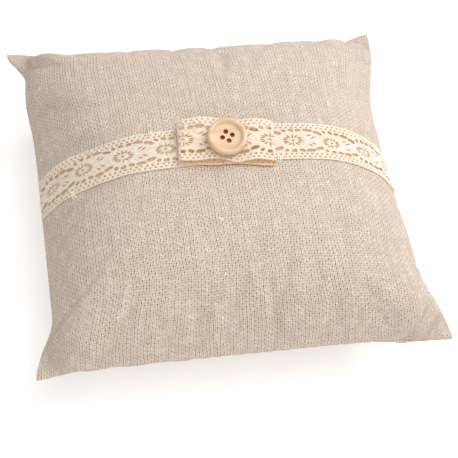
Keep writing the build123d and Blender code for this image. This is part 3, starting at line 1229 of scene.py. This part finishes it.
@dataclass
class LacePattern:
    """Openwork cotton lace: dense edges, a chain of holes along each, and a sunburst in each repeat."""

    width: float = 22 * MM
    repeat: float = 20.8 * MM
    thickness: float = 0.3 * MM
    cell: float = 0.3 * MM
    cord: float = 0.5 * MM
    holes: tuple[LaceHole, ...] = (
        LaceHole(0.0, 6.0, 2.1, 0.72, -4),
        LaceHole(5.0, 4.7, 2.0, 0.76, -14),
        LaceHole(8.6, 5.8, 0.9, 0.6, -20),
        LaceHole(12.3, 6.1, 1.15, 0.68, -12),
        LaceHole(16.2, 5.9, 1.25, 0.7, 10),
        LaceHole(2.3, 1.9, 0.8, 0.2, 24),
        LaceHole(0.4, 2.9, 0.7, 0.2, 16),
    )
    burst_middle: float = 12.6
    burst_rays: int = 14

    def burst(self) -> list[LaceHole]:
        """Slits that radiate round the middle of the repeat."""
        rays = []
        for number in range(self.burst_rays):
            turn = 2 * math.pi * (number + 0.5) / self.burst_rays
            along = self.burst_middle + 4.0 * math.cos(turn)
            slant = math.degrees(math.atan2(1.1 * math.sin(turn), 4.0 * math.cos(turn)))
            rays.append(LaceHole(along, 2.35 * math.sin(turn), 0.72, 0.2, slant))
        rays.append(LaceHole(self.burst_middle, 0.0, 0.55, 0.22, 0.0))
        return rays

    def dots(self) -> list[LaceHole]:
        """Two rows of pin holes in the dense edge, staggered."""
        count = 8
        gap = self.repeat / MM / count
        rows = ((7.75, 0.0, 0.36, 0.25), (9.3, 0.5, 0.3, 0.23))
        return [LaceHole((number + shift) * gap, across, length, height, 0.0)
                for across, shift, length, height in rows for number in range(count)]

    def solid(self, along: np.ndarray, across: np.ndarray, length: float, phase: float) -> np.ndarray:
        """How far inside the lace's threads a point is, in mm, below 0 in a hole or off the lace.

        Args:
            along: position along the lace.
            across: position from its middle line.
            length: the lace's length.
            phase: how far the first repeat starts before the lace's end.

        Returns:
            The distances.
        """
        u, v = along / MM, across / MM
        pitch = self.repeat / MM
        picot = 0.16 * np.cos(2 * math.pi * u / 1.6)
        inside = self.width / MM / 2 - 0.2 + picot - np.abs(v)
        inside = np.minimum(inside, np.minimum(u, length / MM - u))
        u = u + phase / MM
        mirrored = [(hole, side) for hole in (*self.holes, *self.dots()) for side in (1, -1)]
        for hole, side in mirrored + [(hole, 1) for hole in self.burst()]:
            inside = np.minimum(inside, self.outside_hole(u, v, hole, side, pitch))
        return inside

    @staticmethod
    def outside_hole(u: np.ndarray, v: np.ndarray, hole: LaceHole, side: int, pitch: float) -> np.ndarray:
        """Distance outside one hole, about.

        Args:
            u: position along the lace, in mm.
            v: position across it, in mm.
            hole: the hole.
            side: 1 above the middle line, -1 below.
            pitch: the repeat, in mm.

        Returns:
            The distances, below 0 in the hole.
        """
        wrapped = (u - hole.along + pitch / 2) % pitch - pitch / 2
        number = np.floor((u - hole.along + pitch / 2) / pitch)
        wobble = 0.14 * np.sin(12.9898 * (number + 3 * side) + 78.233 * hole.along + hole.across)
        turn = math.radians(hole.slant) * side
        x = wrapped + wobble
        y = v - side * hole.across - 0.5 * wobble
        along = (x * math.cos(turn) + y * math.sin(turn)) / hole.half_length
        across = (y * math.cos(turn) - x * math.sin(turn)) / hole.half_height
        radius = (np.abs(along) ** 2.6 + np.abs(across) ** 2.6) ** (1 / 2.6)
        return (radius - 1) * hole.half_height

    def relief(self, along: np.ndarray, across: np.ndarray, inside: np.ndarray) -> np.ndarray:
        """Height of the lace's face above its middle plane.

        Args:
            along: position along the lace.
            across: position from its middle line.
            inside: how far inside the threads the point is, in mm.

        Returns:
            The heights.
        """
        u, v = along / MM, across / MM
        share = np.clip(inside / (self.cord / MM), 0, 1)
        edge = np.sqrt(share * (2 - share))
        outline = np.exp(-((inside - 0.5) / 0.28) ** 2)
        weave = np.sin(2 * math.pi * (u + 0.6 * v) / 0.95) * np.sin(2 * math.pi * (u - 0.6 * v) / 0.95)
        border = np.exp(-((np.abs(v) - 10.35) / 0.45) ** 2)
        raised = edge * 0.8 + 0.4 * outline * share + 0.3 * weave * share + 0.35 * border * share
        return self.thickness * raised

    def piece(self, name: str, length: float, place: Placement, material: bpy.types.Material,
              phase: float = 0.0) -> bpy.types.Object:
        """Cuts the openwork out of a grid, gives it thickness and lays it in place.

        Args:
            name: the piece's name.
            length: the lace's length.
            place: gives the position of a point along, across and above the lace's middle plane.
            material: the cotton.
            phase: how far the first repeat starts before the lace's end.

        Returns:
            The piece.
        """
        columns, rows = int(length / self.cell) + 3, int(self.width / self.cell) + 5
        u = (np.arange(columns) - 1) * (length / (columns - 3))
        v = (np.arange(rows) - (rows - 1) / 2) * self.cell
        along, across = np.meshgrid(u, v, indexing="ij")
        inside = self.solid(along, across, length, phase)
        solid = inside > 0
        top = -np.ones(solid.shape, int)
        top[solid] = np.arange(solid.sum())
        count = int(solid.sum())
        flat = [np.stack((along[solid], across[solid], inside[solid]), -1)] * 2
        crossings: dict[tuple[int, int, int, int], int] = {}
        cut_points: list[tuple[float, float, float]] = []
        faces: list[list[int]] = []
        corners = ((0, 0), (1, 0), (1, 1), (0, 1))
        busy = solid[:-1, :-1] | solid[1:, :-1] | solid[1:, 1:] | solid[:-1, 1:]
        for i, j in zip(*np.nonzero(busy)):
            cell = [(i + a, j + b) for a, b in corners]
            upper: list[int] = []
            for k, here in enumerate(cell):
                ahead = cell[(k + 1) % 4]
                if solid[here]:
                    upper.append(top[here])
                if solid[here] != solid[ahead]:
                    key = (*min(here, ahead), *max(here, ahead))
                    if key not in crossings:
                        crossings[key] = 2 * count + len(cut_points)
                        share = float(np.clip(inside[here] / (inside[here] - inside[ahead]), 0.12, 0.88))
                        cut_points.append(tuple(grid[here] + share * (grid[ahead] - grid[here])
                                                for grid in (along, across)) + (0.0,))
                    upper.append(crossings[key])
            lower = [number + count if number < count else number for number in upper]
            faces += [upper, lower[::-1]]
        flat.append(np.array(cut_points))
        flat_all = np.vstack(flat)
        height = self.relief(flat_all[:, 0], flat_all[:, 1], flat_all[:, 2])
        height[count : 2 * count] *= -0.6
        height[2 * count :] = 0
        vertices = place(flat_all[:, 0], flat_all[:, 1], height)
        # Weights for the lace's painted shade, low near the holes' edges; -1 marks the lower faces for its
        # painted glow.
        tone = np.clip(flat_all[:, 2] / 0.5, 0, 1)
        tone[count : 2 * count] = -1.0
        attribute = np.stack((flat_all[:, 0], flat_all[:, 1], tone), -1)
        return add_piece(name, vertices, faces, material, {"lace": attribute})


@dataclass(frozen=True)
class Bulge:
    """A soft rise in the bow's upper layer, in mm."""

    along: float
    across: float
    reach: float
    rise: float


@dataclass
class LaceTrim:
    """The band across the cushion, the bow on it and the stitches that hold them."""

    cushion: Cushion
    pattern: LacePattern = field(default_factory=LacePattern)
    bow_half: float = 23 * MM
    bow_middle: float = -0.6 * MM
    lower_slip: float = 1.3 * MM
    bow_turn: float = -5.0
    bow_phase: float = 5.2 * MM
    front_gap: float = 1.3 * MM
    back_gap: float = 3.8 * MM
    lap: float = 6 * MM
    tacks: tuple[tuple[float, int], ...] = ((-78 * MM, -1), (-36 * MM, 1), (23.5 * MM, -1))
    bulges: tuple[Bulge, ...] = (
        Bulge(-12.5, 10.0, 7.0, 2.4),
        Bulge(13.0, 9.0, 6.0, 1.1),
        Bulge(-14.0, -4.0, 7.0, 0.5),
        Bulge(14.0, -5.0, 6.0, 0.6),
    )

    def __post_init__(self) -> None:
        """Finds the surface that the band lies on."""
        self.ground = self.cushion.front.softened(6)
        self.band_lift = 0.6 * self.pattern.thickness + 0.04 * MM
        self.band_top = self.band_lift + 1.3 * self.pattern.thickness

    def on_cushion(self, across: np.ndarray, along: np.ndarray, lift: np.ndarray) -> np.ndarray:
        """Points above the cushion's front.

        Args:
            across: cut position along X.
            along: cut position along Y.
            lift: height above the linen.

        Returns:
            The points.
        """
        raised = lift + self.cushion.seam_gap + self.cushion.linen_thickness
        return self.ground.at(across, along) + self.ground.normal_at(across, along) * raised[..., None]

    def band(self, material: bpy.types.Material) -> bpy.types.Object:
        """The lace band from side seam to side seam.

        Args:
            material: the lace.

        Returns:
            The piece.
        """
        half = self.cushion.cut_half - 0.2 * MM

        def place(along: np.ndarray, across: np.ndarray, height: np.ndarray) -> np.ndarray:
            """Lays the band on the linen."""
            return self.on_cushion(along - half, across, height + self.band_lift)

        piece = self.pattern.piece("lace_band_openwork", 2 * half, place, material)
        return piece

    def bow_point(self, along: np.ndarray, across: np.ndarray) -> tuple[np.ndarray, np.ndarray]:
        """Place of a point of the bow's strip in its loop.

        Args:
            along: position along the strip, 0 at the middle of the upper layer.
            across: position from the strip's middle line.

        Returns:
            Position along the loop's length, and height of the strip above the band.
        """
        share = across / self.pattern.width + 0.5
        gap = self.front_gap + (self.back_gap - self.front_gap) * share**1.3
        radius = 0.5 * (gap + 2 * self.pattern.thickness)
        straight = self.bow_half - radius
        beyond = np.abs(along) - straight
        turn = np.clip(beyond / radius, 0, math.pi)
        below = np.maximum(beyond - math.pi * radius, 0)
        x = np.sign(along) * (np.minimum(np.abs(along), straight) + radius * np.sin(turn) - below)
        height = radius * (1 + np.cos(turn))
        upper = turn <= 0
        for bulge in self.bulges:
            off = ((along / MM - bulge.along) ** 2 + (across / MM - bulge.across) ** 2) / bulge.reach**2
            height = height + np.where(upper, bulge.rise * MM * np.exp(-off), 0)
        front = smooth_step(0.5 - across / self.pattern.width)
        wave = 0.35 * np.cos(2 * math.pi * (along / MM + 6.0) / 19.0)
        wave = wave - 0.8 * np.exp(-(((along / MM - 6.0) / 6.0) ** 2))
        height = height + np.where(upper, wave * MM * front * self.front_gap / (1.3 * MM), 0)
        lap = np.where(below > 0, smooth_step(1 - np.abs(x) / self.lap), 0)
        height = height + np.where(along > 0, 0.55, 0.0) * 2 * self.pattern.thickness * lap
        return x, height

    def bow(self, material: bpy.types.Material) -> bpy.types.Object:
        """The strip of lace folded into a flat loop.

        Args:
            material: the lace.

        Returns:
            The piece.
        """
        length = 4 * self.bow_half + self.lap
        turn = math.radians(self.bow_turn)

        def place(along: np.ndarray, across: np.ndarray, height: np.ndarray) -> np.ndarray:
            """Folds the strip and lays it on the band.

            Args:
                along: position along the lace.
                across: position from its middle line.
                height: height above the lace's middle surface.

            Returns:
                The points.
            """
            middle = along - length / 2
            step = 0.05 * MM
            x, rise = self.bow_point(middle, across)
            ahead_x, ahead_rise = self.bow_point(middle + step, across)
            back_x, back_rise = self.bow_point(middle - step, across)
            slope = unit(np.stack((ahead_x - back_x, ahead_rise - back_rise), -1))
            x = x - slope[:, 1] * height
            rise = rise + slope[:, 0] * height
            slip = self.lower_slip * (1 - np.clip(rise / self.bow_point(0 * along, across)[1], 0, 1))
            slip = slip + 0.3 * MM * np.sin(2 * math.pi * middle / (23 * MM))
            a = self.bow_middle + x * math.cos(turn) - (across - slip) * math.sin(turn)
            b = x * math.sin(turn) + (across - slip) * math.cos(turn)
            return self.on_cushion(a, b, rise + self.band_top + self.band_lift)

        piece = self.pattern.piece("lace_bow_loop", length, place, material, self.bow_phase)
        return piece

    def bow_top(self) -> float:
        """Height of the bow's upper layer above the linen, at its middle."""
        _, height = self.bow_point(np.zeros(1), np.zeros(1))
        return float(height[0]) + self.band_top + self.band_lift + self.pattern.thickness

    def tack_stitches(self, material: bpy.types.Material) -> bpy.types.Object:
        """White hand tacks over the band's edges, two turns of thread each.

        Args:
            material: the thread.

        Returns:
            The piece.
        """
        strands = []
        edge = self.pattern.width / 2
        for across, side in self.tacks:
            for turn in (-0.4, 0.35):
                lean = 0.6 * turn * MM
                runs = np.array([-2.2, -1.4, -0.3, 0.25, 0.9, 1.5]) * MM
                lifts = np.array([0.2, 1.25, 1.3, 1.15, 0.45, -0.1]) * MM
                places = across + turn * MM + lean * np.arange(6) / 3
                points = self.on_cushion(places, side * (edge + runs), lifts)
                strands.append(strand(curve_through(points, 22), 0.26 * MM, 8))
        vertices, faces = join_strands(strands)
        return add_piece("tack_stitches", vertices, faces, material, {})

    def tie_stitches(self, material: bpy.types.Material) -> bpy.types.Object:
        """Thread that ties the bow down: turns over its upper layer, with legs into the cushion.

        Args:
            material: the thread.

        Returns:
            The piece.
        """
        strands = []
        top = self.bow_top() + 0.25 * MM
        for offset in (-0.5, 0.1, 0.6):
            across = np.array([-1.5, -1.5, -1.45, 0.0, 1.45, 1.5, 1.5]) * MM
            along = np.full(7, offset * MM)
            lifts = np.array([-3 * MM, 0.5 * top, top - 0.1 * MM, top, top - 0.1 * MM, 0.5 * top, -3 * MM])
            path = self.on_cushion(across + self.bow_middle, along, lifts)
            strands.append(strand(curve_through(path, 40), 0.22 * MM, 7))
        vertices, faces = join_strands(strands)
        return add_piece("bow_tie_stitches", vertices, faces, material, {})

    def build(self) -> None:
        """Builds and dresses the lace and its stitches."""
        cotton = CottonLace().material()
        white = Thread("white_thread", rgb(250, 244, 232)).material()
        finish_piece(self.band(cotton), "lace", "lace_band")
        finish_piece(self.bow(cotton), "lace", "bow_loop")
        finish_piece(self.tack_stitches(white), "white_thread", "band_tacks")
        finish_piece(self.tie_stitches(white), "white_thread", "bow_tie_thread")


# --- Button -------------------------------------------------------------------------------------------


@dataclass
class WoodButton:
    """Turned wooden button on its dab of glue."""

    trim: LaceTrim
    radius: float = 9.45 * MM
    thickness: float = 3.4 * MM
    recess_radius: float = 6.5 * MM
    recess_floor: float = 2.2 * MM
    hole_radius: float = 1.1 * MM
    hole_circle: float = 2.4 * MM
    hole_turn: float = 10.0
    glue_radius: float = 4.5 * MM
    glue_middle: float = 1.6 * MM
    tilt: float = 10.0
    facing: float = -19.0
    forward: float = -0.5 * MM

    def seat(self) -> Matrix:
        """Where the button's underside sits."""
        middle = np.array([self.trim.bow_middle])
        height = np.array([self.trim.bow_top() + self.glue_middle])
        ground = self.trim.on_cushion(middle, middle * 0 + self.forward, height)[0]
        turn = Matrix.Rotation(math.radians(self.facing), 4, "Z")
        lean = Matrix.Rotation(math.radians(self.tilt), 4, "X")
        return Matrix.Translation(Vector(ground)) @ turn @ lean @ turn.inverted()

    def profile(self) -> list[tuple[float, float]]:
        """Outline of the turned blank, from the middle of its underside round to the middle of its face."""
        r, t = self.radius / MM, self.thickness / MM
        under = [(0.0, 0.0), (3.0, 0.0), (5.6, 0.0), (r - 1.5, 0.02)]
        bead = [(r - 1.5 + 1.5 * math.sin(a), 1.5 - 1.5 * math.cos(a)) for a in np.linspace(0.25, 1.45, 6)]
        crest = 1.35
        rim = [(r - crest + crest * math.cos(a), t - crest + crest * math.sin(a))
               for a in np.linspace(0.15, 2.35, 12)]
        inner = self.recess_radius / MM
        floor = self.recess_floor / MM
        dish = [(inner + 0.24, t - 0.62), (inner + 0.1, floor + 0.3), (inner - 0.04, floor + 0.1),
                (inner - 0.3, floor), (4.4, floor), (3.2, floor), (1.4, floor - 0.03), (0.0, floor - 0.04)]
        return under + bead + rim + dish

    def button(self, material: bpy.types.Material) -> bpy.types.Object:
        """Turns the blank, drills the four holes and tilts it onto the bow.

        Args:
            material: the wood.

        Returns:
            The piece.
        """
        outline = np.array(self.profile()) * MM
        sides = 96
        angles = np.linspace(0, 2 * math.pi, sides, endpoint=False)
        rings = np.stack((outline[:, :1] * np.cos(angles), outline[:, :1] * np.sin(angles),
                          np.repeat(outline[:, 1:], sides, 1)), -1)
        faces = tube_faces(len(outline), sides, capped=False)
        piece = add_piece("wood_button", rings.reshape(-1, 3), faces, material, {})
        clean(piece, 0.005 * MM)
        self.drill(piece)
        self.mark(piece.data)
        piece.data.transform(self.seat())
        return piece

    def hole_middles(self) -> list[np.ndarray]:
        """Middles of the four holes, on the blank."""
        turns = [math.radians(self.hole_turn + 90 * number) for number in range(4)]
        return [np.array([math.cos(turn), math.sin(turn)]) * self.hole_circle for turn in turns]

    def drill(self, piece: bpy.types.Object) -> None:
        """Cuts the four holes, each flared at both mouths.

        Args:
            piece: the turned blank.
        """
        flare = 0.22 * MM
        floor, r = self.recess_floor, self.hole_radius
        shape = [(-2 * MM, r + 2.2 * MM), (-0.2 * MM, r + flare * 1.6), (flare, r), (floor - flare, r),
                 (floor - 0.3 * flare, r + 0.35 * flare), (floor, r + flare), (floor + 2 * MM, r + 2.2 * MM)]
        sides = 40
        angles = np.linspace(0, 2 * math.pi, sides, endpoint=False)
        faces = tube_faces(len(shape), sides)
        for number, (x, y) in enumerate(self.hole_middles()):
            points = np.array([(x + size * math.cos(a), y + size * math.sin(a), level)
                               for level, size in shape for a in angles])
            drill = add_piece(f"drill_{number}", points, faces, piece.data.materials[0], {})
            clean(drill, 1e-7)
            cut = piece.modifiers.new("hole", "BOOLEAN")
            cut.operation, cut.solver, cut.object = "DIFFERENCE", "EXACT", drill
            evaluated = piece.evaluated_get(bpy.context.evaluated_depsgraph_get())
            piece.data = bpy.data.meshes.new_from_object(evaluated)
            piece.modifiers.clear()
            bpy.data.objects.remove(drill)

    def mark(self, mesh: bpy.types.Mesh) -> None:
        """Stores each point's place on the blank and how far into a hole it is.

        Args:
            mesh: the drilled button, before it is tilted.
        """
        points = np.zeros(len(mesh.vertices) * 3, np.float32)
        mesh.vertices.foreach_get("co", points)
        points = points.reshape(-1, 3)
        nearest = np.full(len(points), 1.0)
        for middle in self.hole_middles():
            nearest = np.minimum(nearest, np.linalg.norm(points[:, :2] - middle, axis=1))
        bore = np.where(nearest < self.hole_radius + 0.06 * MM, 1.0, 0.0)
        write_attributes(mesh, {"blank": points, "bore": bore})
        mesh.polygons.foreach_set("use_smooth", [True] * len(mesh.polygons))

    def glue(self, material: bpy.types.Material) -> bpy.types.Object:
        """Dab of glue between the bow and the button, squeezed out to a round edge.

        Args:
            material: the set glue.

        Returns:
            The piece.
        """
        seat = self.seat()
        sides, rings = 36, 9
        top = self.trim.bow_top()
        points = []
        for ring in range(rings):
            share = ring / (rings - 1)
            spread = self.glue_radius * (1 + 0.1 * math.sin(math.pi * share))
            for number in range(sides):
                turn = 2 * math.pi * number / sides
                uneven = 1 + 0.06 * math.sin(3 * turn + 1) + 0.04 * math.sin(5 * turn)
                x, y = spread * uneven * math.cos(turn), spread * uneven * math.sin(turn)
                place = (np.array([value]) for value in (x + self.trim.bow_middle, y, top))
                low = self.trim.on_cushion(*place)[0]
                high = np.array(seat @ Vector((x, y, -0.02 * MM)))
                points.append(low + (high - low) * share)
        return add_piece("glue_dab", np.array(points), tube_faces(rings, sides), material, {})

    def build(self) -> None:
        """Builds and dresses the button and its glue."""
        finish_piece(self.button(TurnedWood().material()), "wood", "button")
        finish_piece(self.glue(SetGlue().material()), "glue", "button_glue")


# --- Studio -------------------------------------------------------------------------------------------


@dataclass(frozen=True)
class SoftBox:
    """One large soft light."""

    name: str
    azimuth: float
    elevation: float
    distance: float
    size: float
    power: float
    tint: tuple[float, float, float] = (1.0, 1.0, 1.0)


@dataclass
class Studio:
    """White paper, soft light and the camera."""

    azimuth: float = -19.35
    elevation: float = 57.7
    roll: float = 11.8
    distance: float = 608 * MM
    aim: tuple[float, float, float] = (1.6 * MM, -23.2 * MM, 33 * MM)
    lens: float = 98.0
    sky: float = 0.42
    lights: tuple[SoftBox, ...] = (
        SoftBox("key_light", 122.0, 47.0, 1.3, 1.2, 15.2, (0.985, 0.997, 1.02)),
        SoftBox("top_light", 0.0, 80.0, 1.5, 1.4, 7.0, (0.98, 0.99, 1.0)),
        SoftBox("front_fill", -8.0, 34.0, 1.4, 1.2, 5.0, (1.0, 1.0, 1.0)),
    )

    @staticmethod
    def direction(azimuth: float, elevation: float) -> Vector:
        """Unit vector towards a place round the pillow, with azimuth 0 in front, towards -Y."""
        a, e = math.radians(azimuth), math.radians(elevation)
        return Vector((math.sin(a) * math.cos(e), -math.cos(a) * math.cos(e), math.sin(e)))

    def camera(self) -> None:
        """Places the camera."""
        data = bpy.data.cameras.new("camera")
        data.lens, data.sensor_width = self.lens, 36.0
        data.clip_start, data.clip_end = 0.05, 20.0
        camera = bpy.data.objects.new("camera", data)
        back = self.direction(self.azimuth, self.elevation)
        roll = Matrix.Rotation(math.radians(self.roll), 3, "Z").to_quaternion()
        camera.location = Vector(self.aim) + back * self.distance
        camera.rotation_mode = "QUATERNION"
        camera.rotation_quaternion = (-back).to_track_quat("-Z", "Y") @ roll
        bpy.context.scene.collection.objects.link(camera)
        bpy.context.scene.camera = camera

    def floor(self) -> None:
        """Lays the paper under the pillow."""
        side, steps = 3.0, 24
        shares = np.linspace(-side, side, steps + 1)
        x, y = np.meshgrid(shares, shares, indexing="ij")
        points = np.stack((x, y, np.zeros_like(x)), -1).reshape(-1, 3)
        paper = add_piece("backdrop_paper", points, grid_faces(steps + 1, steps + 1), Paper().material(), {})

    def light(self) -> None:
        """Hangs the lights and sets the sky."""
        for box in self.lights:
            data = bpy.data.lights.new(box.name, "AREA")
            data.shape, data.size, data.energy, data.color = "DISK", box.size, box.power, box.tint
            lamp = bpy.data.objects.new(box.name, data)
            towards = self.direction(box.azimuth, box.elevation)
            lamp.location = towards * box.distance
            lamp.rotation_mode = "QUATERNION"
            lamp.rotation_quaternion = towards.to_track_quat("Z", "Y")
            bpy.context.scene.collection.objects.link(lamp)
        world = bpy.data.worlds.new("studio")
        world.use_nodes = True
        background = world.node_tree.nodes["Background"]
        background.inputs["Color"].default_value = (1.0, 1.0, 1.0, 1.0)
        background.inputs["Strength"].default_value = self.sky
        bpy.context.scene.world = world
        bpy.context.scene.view_settings.view_transform = "Standard"

    def build(self) -> None:
        """Sets up the whole studio."""
        self.camera()
        self.floor()
        self.light()


def main() -> None:
    """Builds the studio and the pillow."""
    logging.basicConfig(level=logging.INFO, format="%(name)s: %(message)s")
    Studio().build()
    cushion = Cushion()
    cushion.build()
    trim = LaceTrim(cushion)
    trim.build()
    WoodButton(trim).build()


if __name__ == "__main__":
    main()
